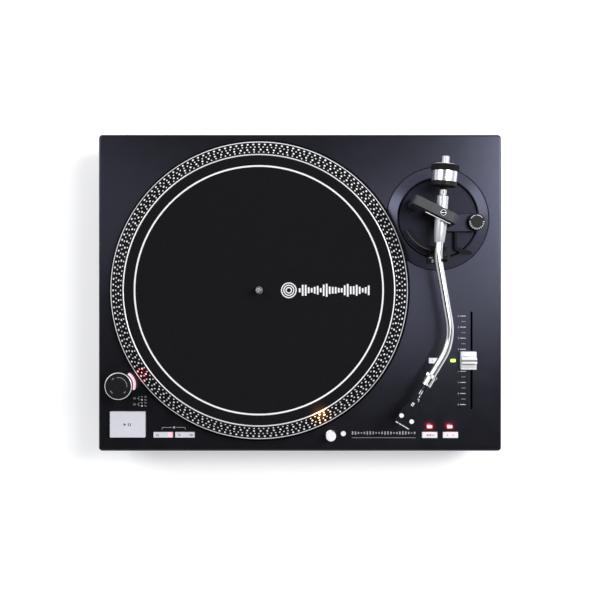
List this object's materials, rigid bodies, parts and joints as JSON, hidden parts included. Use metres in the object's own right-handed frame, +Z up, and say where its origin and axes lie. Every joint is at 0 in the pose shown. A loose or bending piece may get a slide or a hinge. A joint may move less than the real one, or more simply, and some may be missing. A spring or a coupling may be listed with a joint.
{
  "type": "turntable record player",
  "caption": "Direct-drive deck turntable: flat plinth, strobe-dotted platter with slipmat, S-shaped tonearm on a height-adjustable base, pitch fader and push buttons.",
  "frame": {"origin": "on the supporting surface, under the middle of the plinth", "axes": "+X to the tonearm side, +Y to the back, +Z up"},
  "size_m": [0.45, 0.354, 0.147],
  "materials": {
    "deck_paint": "satin black powder coat",
    "chassis_plastic": "textured black moulding",
    "sheet_steel": "zinc plated",
    "foot_rubber": "matte",
    "platter_metal": "cast, black coated bevel",
    "steel": "turned",
    "magnet": "ferrite",
    "felt": "black felt",
    "bronze": "sintered",
    "copper": "enamelled windings",
    "board": "printed circuit board",
    "black_plastic": "fine texture",
    "button_plastic": "pale silver, satin",
    "red_lens": "red translucent",
    "amber_lens": "amber translucent",
    "chrome": "polished",
    "silver": "satin anodised",
    "arm_paint": "satin black",
    "brass": "gold plated",
    "print_white": "white printed or filled marks",
    "green_lens": "green translucent"
  },
  "bodies": {
    "root": {"top_cabinet": "deck_paint", "base_chassis": "chassis_plastic", "bottom_cover": "sheet_steel", "cover_screws": "steel", "rear_panel": "black_plastic", "mains_inlet": "black_plastic", "output_jacks": "brass", "ground_post": "steel", "motor_frame": "sheet_steel", "spindle_bearing": "bronze", "stator": "copper", "circuit_boards": "board", "power_transformer": "copper", "strobe_housing": "black_plastic", "strobe_lens": "red_lens", "fader_track": "sheet_steel", "indicator_lenses": "red_lens", "lamp_sleeve": "black_plastic", "arm_base_collar": "arm_paint"},
    "foot_front_left": {"foot_front_left": "foot_rubber"},
    "foot_back_left": {"foot_back_left": "foot_rubber"},
    "foot_front_right": {"foot_front_right": "foot_rubber"},
    "foot_back_right": {"foot_back_right": "foot_rubber"},
    "platter": {"platter": "platter_metal", "spindle": "steel", "rotor_magnet": "magnet"},
    "slipmat": {"slipmat": "felt"},
    "power_knob": {"power_knob": "black_plastic"},
    "start_stop_button": {"start_stop_button": "button_plastic"},
    "speed_33_button": {"speed_33_button": "button_plastic"},
    "speed_45_button": {"speed_45_button": "button_plastic"},
    "reverse_button": {"reverse_button": "button_plastic"},
    "pitch_range_button": {"pitch_range_button": "button_plastic"},
    "quartz_lock_button": {"quartz_lock_button": "button_plastic"},
    "lamp_button": {"lamp_button": "silver"},
    "pitch_fader_cap": {"pitch_fader_cap": "silver"},
    "output_switch": {"output_switch": "black_plastic"},
    "ground_nut": {"ground_nut": "brass"},
    "height_ring": {"height_ring": "arm_paint"},
    "anti_skate_knob": {"anti_skate_knob": "black_plastic"},
    "arm_rest_clip": {"arm_rest_clip": "black_plastic"},
    "lift_platform": {"lift_platform": "black_plastic"},
    "cue_lever": {"cue_lever": "arm_paint"},
    "locking_collar": {"locking_collar": "chrome"},
    "counterweight": {"counterweight": "steel"},
    "force_dial": {"force_dial": "black_plastic"},
    "target_lamp": {"target_lamp": "silver", "target_lamp_lens": "amber_lens"},
    "arm_base": {"arm_base": "arm_paint", "gimbal_bridge": "arm_paint", "anti_skate_housing": "arm_paint", "arm_rest": "black_plastic"},
    "gimbal": {"gimbal_ring": "chrome"},
    "tonearm": {"arm_pivot_housing": "chrome", "rear_shaft": "chrome", "arm_tube": "chrome", "headshell": "arm_paint", "cartridge_screws": "steel", "cartridge_body": "black_plastic", "stylus": "black_plastic"}
  },
  "joints": [
    {"name": "foot_front_left_level", "type": "slide", "parent": "root", "child": "foot_front_left", "axis": [0, 0, 1], "range_m": [-0.006, 0]},
    {"name": "foot_back_left_level", "type": "slide", "parent": "root", "child": "foot_back_left", "axis": [0, 0, 1], "range_m": [-0.006, 0]},
    {"name": "foot_front_right_level", "type": "slide", "parent": "root", "child": "foot_front_right", "axis": [0, 0, 1], "range_m": [-0.006, 0]},
    {"name": "foot_back_right_level", "type": "slide", "parent": "root", "child": "foot_back_right", "axis": [0, 0, 1], "range_m": [-0.006, 0]},
    {"name": "platter_spin", "type": "hinge", "parent": "root", "child": "platter", "pos_m": [-0.0453, 0.003, 0.09], "axis": [0, 0, -1], "continuous": true},
    {"name": "slipmat_slip", "type": "hinge", "parent": "platter", "child": "slipmat", "pos_m": [-0.0453, 0.003, 0.1], "axis": [0, 0, 1], "continuous": true},
    {"name": "power_turn", "type": "hinge", "parent": "root", "child": "power_knob", "pos_m": [-0.1988, -0.102, 0.1], "axis": [0, 0, -1], "range_deg": [0, 50]},
    {"name": "start_stop_press", "type": "slide", "parent": "root", "child": "start_stop_button", "axis": [0, 0, 1], "range_m": [-0.002, 0], "stiffness_N_per_m": 900, "springref_m": 0.001},
    {"name": "speed_33_press", "type": "slide", "parent": "root", "child": "speed_33_button", "axis": [0, 0, 1], "range_m": [-0.0012, 0], "stiffness_N_per_m": 700, "springref_m": 0.001},
    {"name": "speed_45_press", "type": "slide", "parent": "root", "child": "speed_45_button", "axis": [0, 0, 1], "range_m": [-0.0012, 0], "stiffness_N_per_m": 700, "springref_m": 0.001},
    {"name": "reverse_press", "type": "slide", "parent": "root", "child": "reverse_button", "axis": [0, 0, 1], "range_m": [-0.0012, 0], "stiffness_N_per_m": 700, "springref_m": 0.001},
    {"name": "pitch_range_press", "type": "slide", "parent": "root", "child": "pitch_range_button", "axis": [0, 0, 1], "range_m": [-0.0012, 0], "stiffness_N_per_m": 700, "springref_m": 0.001},
    {"name": "quartz_lock_press", "type": "slide", "parent": "root", "child": "quartz_lock_button", "axis": [0, 0, 1], "range_m": [-0.0012, 0], "stiffness_N_per_m": 700, "springref_m": 0.001},
    {"name": "lamp_press", "type": "slide", "parent": "root", "child": "lamp_button", "axis": [0, 0, 1], "range_m": [-0.0015, 0], "stiffness_N_per_m": 500, "springref_m": 0.001},
    {"name": "target_lamp_rise", "type": "slide", "parent": "root", "child": "target_lamp", "axis": [0, 0, 1], "range_m": [-0.0155, 0], "stiffness_N_per_m": 60, "springref_m": 0.006},
    {"name": "pitch_slide", "type": "slide", "parent": "root", "child": "pitch_fader_cap", "axis": [0, 1, 0], "range_m": [-0.0495, 0.0495]},
    {"name": "output_switch_slide", "type": "slide", "parent": "root", "child": "output_switch", "axis": [1, 0, 0], "range_m": [0, 0.006]},
    {"name": "ground_nut_turn", "type": "hinge", "parent": "root", "child": "ground_nut", "pos_m": [0.055, 0.164, 0.0655], "axis": [0, 1, 0], "range_deg": [0, 360]},
    {"name": "height_turn", "type": "hinge", "parent": "root", "child": "height_ring", "pos_m": [0.1537, 0.083, 0.085], "axis": [0, 0, 1], "range_deg": [0, 330]},
    {"name": "arm_height", "type": "slide", "parent": "root", "child": "arm_base", "axis": [0, 0, 1], "range_m": [0, 0.006]},
    {"name": "anti_skate_turn", "type": "hinge", "parent": "arm_base", "child": "anti_skate_knob", "pos_m": [0.1942, 0.0781, 0.1], "axis": [0, 0, -1], "range_deg": [0, 250]},
    {"name": "clip_turn", "type": "hinge", "parent": "arm_base", "child": "arm_rest_clip", "pos_m": [0.157, 0.0357, 0.12], "axis": [0, 0, 1], "range_deg": [0, 90]},
    {"name": "cue_turn", "type": "hinge", "parent": "arm_base", "child": "cue_lever", "pos_m": [0.172, 0.06, 0.094], "axis": [0, -1, 0], "range_deg": [0, 60]},
    {"name": "arm_lift", "type": "slide", "parent": "arm_base", "child": "lift_platform", "axis": [0, 0, 1], "range_m": [0, 0.0046]},
    {"name": "arm_swing", "type": "hinge", "parent": "arm_base", "child": "gimbal", "pos_m": [0.1521, 0.0853, 0.13], "axis": [0, 0, -1], "range_deg": [0, 46]},
    {"name": "arm_tilt", "type": "hinge", "parent": "gimbal", "child": "tonearm", "pos_m": [0.1521, 0.0853, 0.13], "axis": [-0.8988, 0.4384, 0], "range_deg": [-2, 12]},
    {"name": "counterweight_slide", "type": "slide", "parent": "tonearm", "child": "counterweight", "axis": [-0.079, -0.9969, 0], "range_m": [-0.008, 0.009]},
    {"name": "force_dial_turn", "type": "hinge", "parent": "counterweight", "child": "force_dial", "pos_m": [0.1521, 0.0853, 0.13], "axis": [-0.079, -0.9969, 0], "continuous": true},
    {"name": "collar_turn", "type": "hinge", "parent": "tonearm", "child": "locking_collar", "pos_m": [0.1354, -0.0992, 0.13], "axis": [-0.5135, -0.8581, 0], "range_deg": [0, 45]}
  ],
  "couplings": [
    {"joint": "arm_height", "follows": "height_turn", "m_per_rad": 0.00104},
    {"joint": "arm_lift", "follows": "cue_turn", "m_per_rad": 0.00435}
  ]
}
